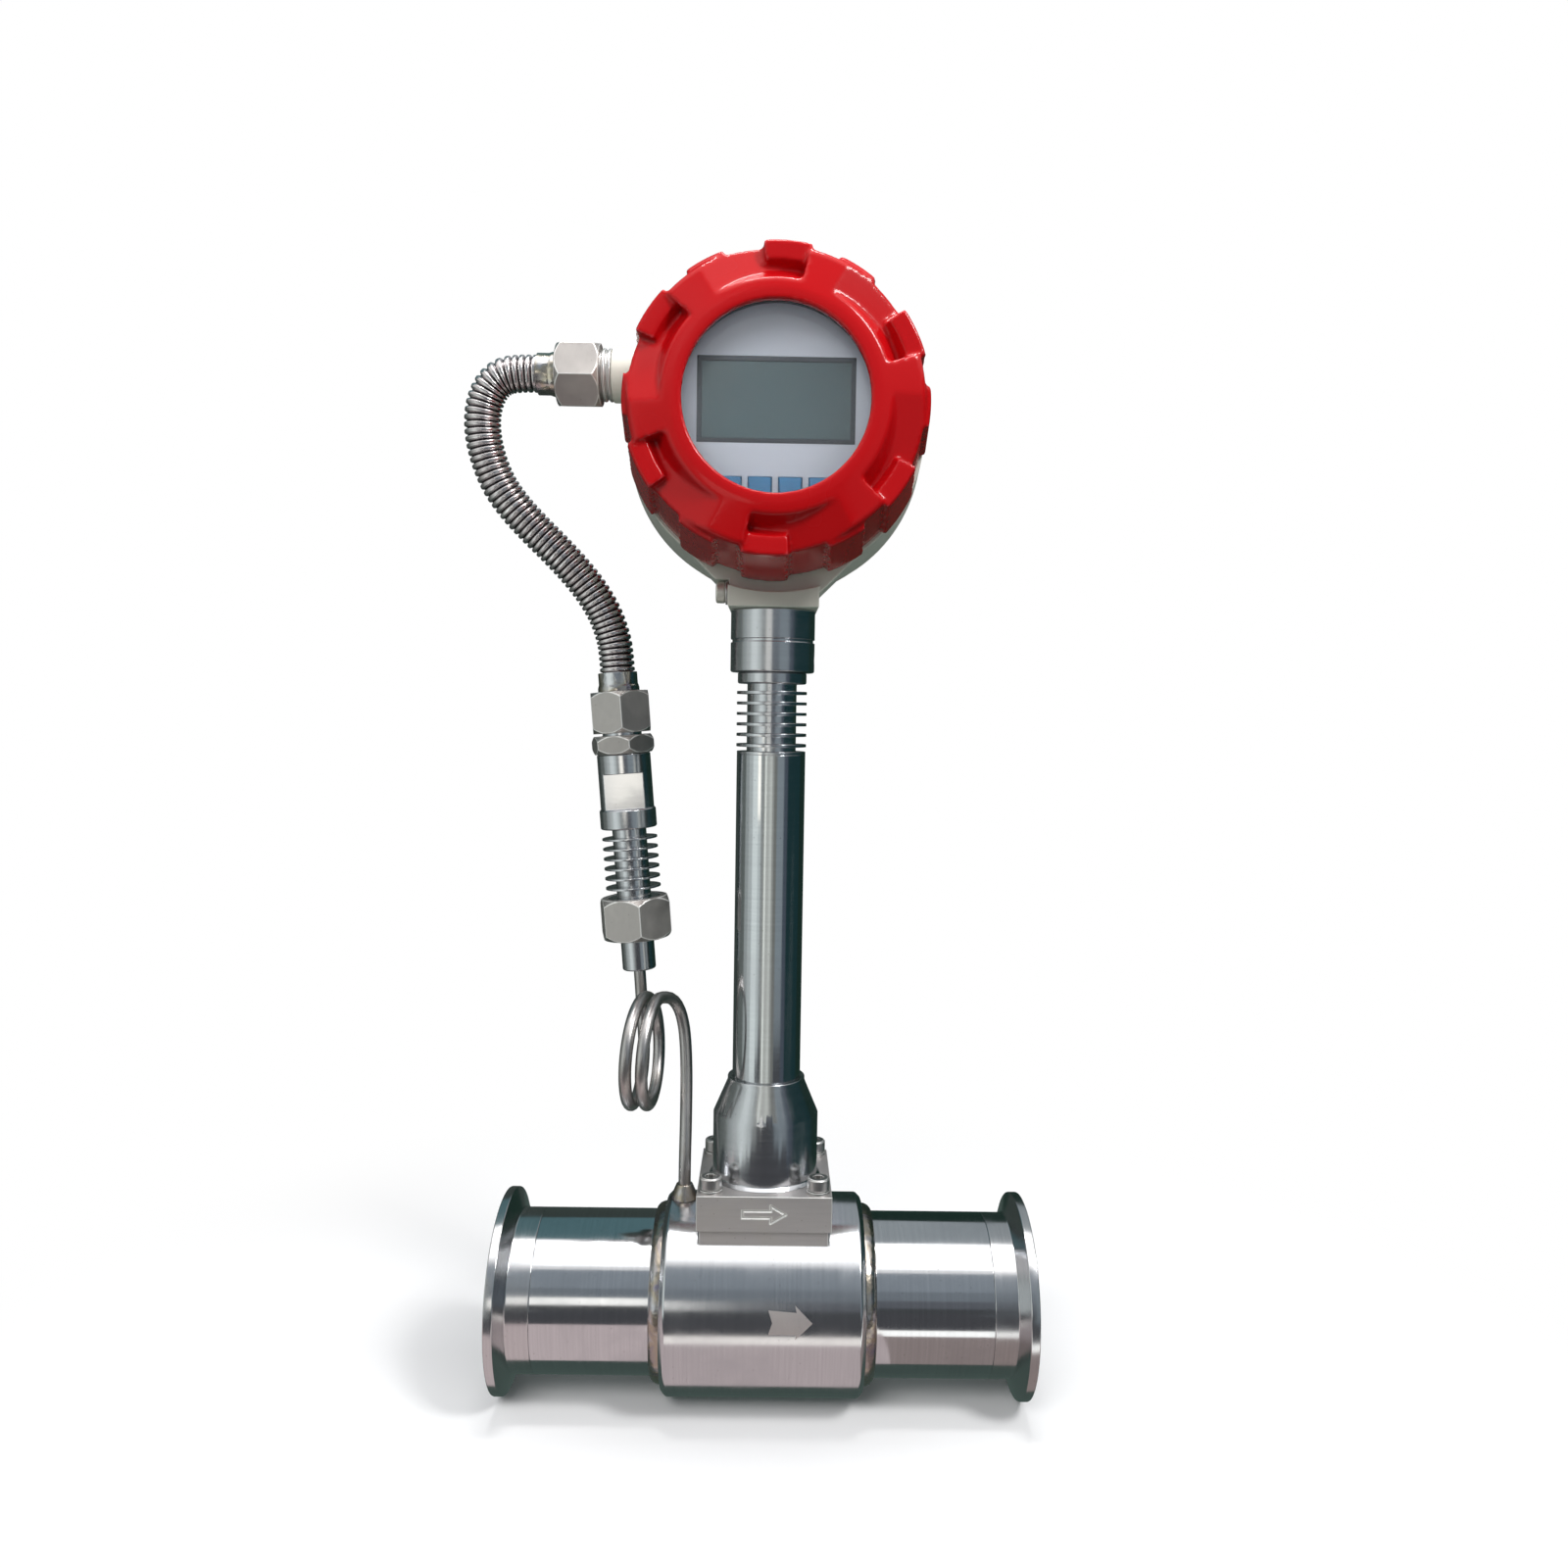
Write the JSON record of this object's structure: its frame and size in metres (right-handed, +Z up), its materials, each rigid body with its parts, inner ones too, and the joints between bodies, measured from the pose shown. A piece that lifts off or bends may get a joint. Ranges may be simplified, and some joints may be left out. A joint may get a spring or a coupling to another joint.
{
  "type": "vortex flow meter",
  "caption": "Hygienic vortex flow meter: clamp-end flow tube, sensor post with fins, round two-sided display head, and a pressure branch of coiled siphon, finned sensor and ribbed hose",
  "frame": {"origin": "centre of the inlet clamp face, on the pipe's axis", "axes": "+X along the flow towards the outlet, -Y towards the display's viewer, +Z up along the post"},
  "size_m": [0.1849, 0.0951, 0.3578],
  "materials": {
    "turned_steel": "fine turned stainless steel",
    "pipe_steel": "polished stainless pipe",
    "polished_steel": "bright polished stainless steel",
    "weld_steel": "smoothed weld",
    "screw_steel": "plain steel",
    "nut_steel": "machined steel, light edges",
    "hose_steel": "ribbed stainless hose",
    "siphon_steel": "drawn stainless tube",
    "seal_rubber": "matt black",
    "gasket_white": "matt white",
    "cable_black": "matt black",
    "cream_paint": "semi-gloss warm white paint",
    "red_paint": "gloss red paint",
    "clear_glass": "clear toughened glass",
    "ring_grey": "satin grey",
    "ground_brass": "plain brass",
    "plate_grey": "satin light grey-blue",
    "lcd_dark": "dark frame",
    "lcd_green": "unlit grey-green display",
    "key_blue": "satin blue",
    "board_green": "solder mask",
    "terminal_green": "moulded plastic",
    "battery_wrap": "plain wrap",
    "clip_black": "moulded plastic"
  },
  "bodies": {
    "meter": {"meter_body": "turned_steel", "inlet_stub": "pipe_steel", "outlet_stub": "pipe_steel", "inlet_ferrule": "polished_steel", "outlet_ferrule": "polished_steel", "stub_welds": "weld_steel", "shedder_bar": "turned_steel", "vortex_probe": "turned_steel", "probe_gasket": "seal_rubber", "flange_seat": "weld_steel", "sensor_flange": "turned_steel", "flange_screws": "screw_steel", "spring_washers": "screw_steel", "bell_housing": "turned_steel", "post_tube": "polished_steel", "finned_neck": "polished_steel", "head_collar": "turned_steel", "collar_set_screw": "screw_steel", "sensor_lead": "cable_black", "head_housing": "cream_paint", "ground_screw": "ground_brass", "ground_washer": "screw_steel", "face_plate": "plate_grey", "lcd_frame": "lcd_dark", "lcd_panel": "lcd_green", "display_board": "board_green", "board_posts": "ground_brass", "main_board": "board_green", "main_board_posts": "ground_brass", "terminal_block": "terminal_green", "terminal_screws": "screw_steel", "battery": "battery_wrap", "battery_clip": "clip_black", "port_nipple": "screw_steel", "upper_union_nut": "nut_steel", "upper_sleeve": "polished_steel", "conduit_hose": "hose_steel", "lower_sleeve": "polished_steel", "hose_coupling": "nut_steel", "lock_nut": "nut_steel", "sensor_body": "turned_steel", "pressure_cell": "ground_brass", "sensor_fins": "polished_steel", "union_gasket": "gasket_white", "union_nut": "nut_steel", "siphon_nipple": "turned_steel", "siphon_tube": "siphon_steel", "tap_weld": "weld_steel"},
    "front_travel": {"window_glass": "clear_glass", "glass_gasket": "seal_rubber", "front_seal": "seal_rubber"},
    "front_cover": {"front_cover": "red_paint", "glass_retainer": "ring_grey"},
    "rear_travel": {"rear_seal": "seal_rubber"},
    "rear_cover": {"rear_cover": "red_paint"},
    "key_1": {"key_1": "key_blue"},
    "key_2": {"key_2": "key_blue"},
    "key_3": {"key_3": "key_blue"},
    "key_4": {"key_4": "key_blue"}
  },
  "joints": [
    {"name": "front_cover_travel", "type": "slide", "parent": "meter", "child": "front_travel", "axis": [0, -1, 0], "range_m": [0, 0.0141]},
    {"name": "front_cover_turn", "type": "hinge", "parent": "front_travel", "child": "front_cover", "pos_m": [0.085, -0.03, 0.27783], "axis": [0, -1, 0], "range_deg": [0, 2520]},
    {"name": "rear_cover_travel", "type": "slide", "parent": "meter", "child": "rear_travel", "axis": [0, 1, 0], "range_m": [0, 0.0141]},
    {"name": "rear_cover_turn", "type": "hinge", "parent": "rear_travel", "child": "rear_cover", "pos_m": [0.085, 0.03, 0.27783], "axis": [0, 1, 0], "range_deg": [0, 2520]},
    {"name": "key_1_press", "type": "slide", "parent": "meter", "child": "key_1", "axis": [0, 1, 0], "range_m": [0, 0.0006], "stiffness_N_per_m": 1500, "springref_m": -0.0004},
    {"name": "key_2_press", "type": "slide", "parent": "meter", "child": "key_2", "axis": [0, 1, 0], "range_m": [0, 0.0006], "stiffness_N_per_m": 1500, "springref_m": -0.0004},
    {"name": "key_3_press", "type": "slide", "parent": "meter", "child": "key_3", "axis": [0, 1, 0], "range_m": [0, 0.0006], "stiffness_N_per_m": 1500, "springref_m": -0.0004},
    {"name": "key_4_press", "type": "slide", "parent": "meter", "child": "key_4", "axis": [0, 1, 0], "range_m": [0, 0.0006], "stiffness_N_per_m": 1500, "springref_m": -0.0004}
  ],
  "couplings": [
    {"joint": "front_cover_travel", "follows": "front_cover_turn", "m_per_rad": 0.00031831},
    {"joint": "rear_cover_travel", "follows": "rear_cover_turn", "m_per_rad": 0.00031831}
  ]
}
